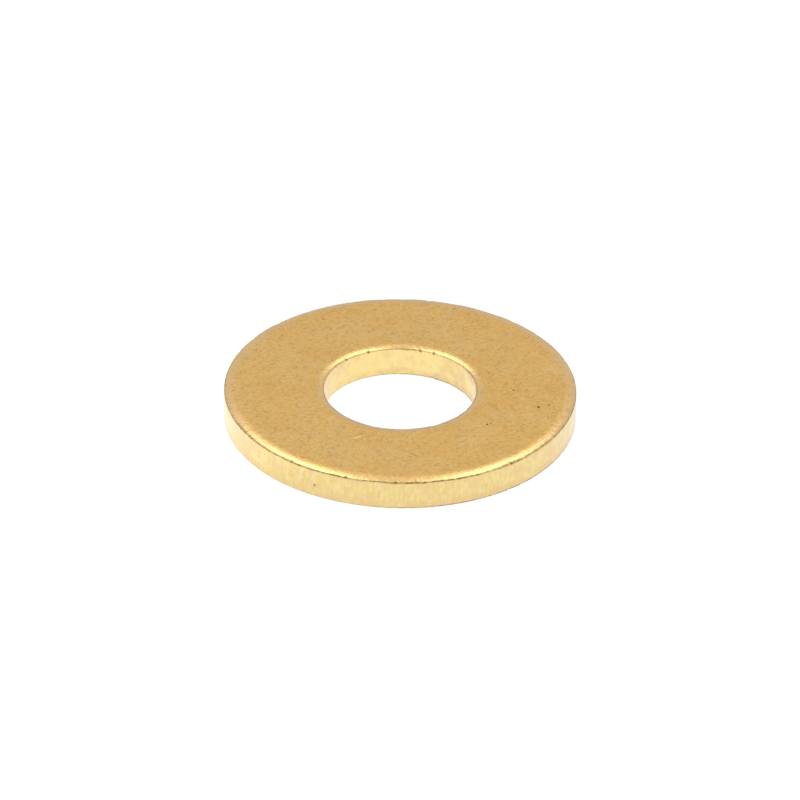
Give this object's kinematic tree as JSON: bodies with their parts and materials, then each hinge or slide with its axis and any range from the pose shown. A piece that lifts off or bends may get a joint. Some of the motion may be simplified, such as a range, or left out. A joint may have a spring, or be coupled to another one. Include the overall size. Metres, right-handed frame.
{
  "type": "flat washer",
  "caption": "Flat round washer stamped from brass sheet: a plain bore, a flat bearing face on each side and rounded edges on the punched face.",
  "frame": {"origin": "centre of the bore at the underside, which is the square-edged face", "axes": "+Z along the bore axis, from the underside towards the punched face with the rounded edges; +X and +Y are free, because the ring is round"},
  "size_m": [0.0186, 0.0186, 0.0016],
  "materials": {
    "brass": "tumbled matt faces, sheared edges"
  },
  "bodies": {
    "root": {"washer": "brass"}
  },
  "joints": []
}
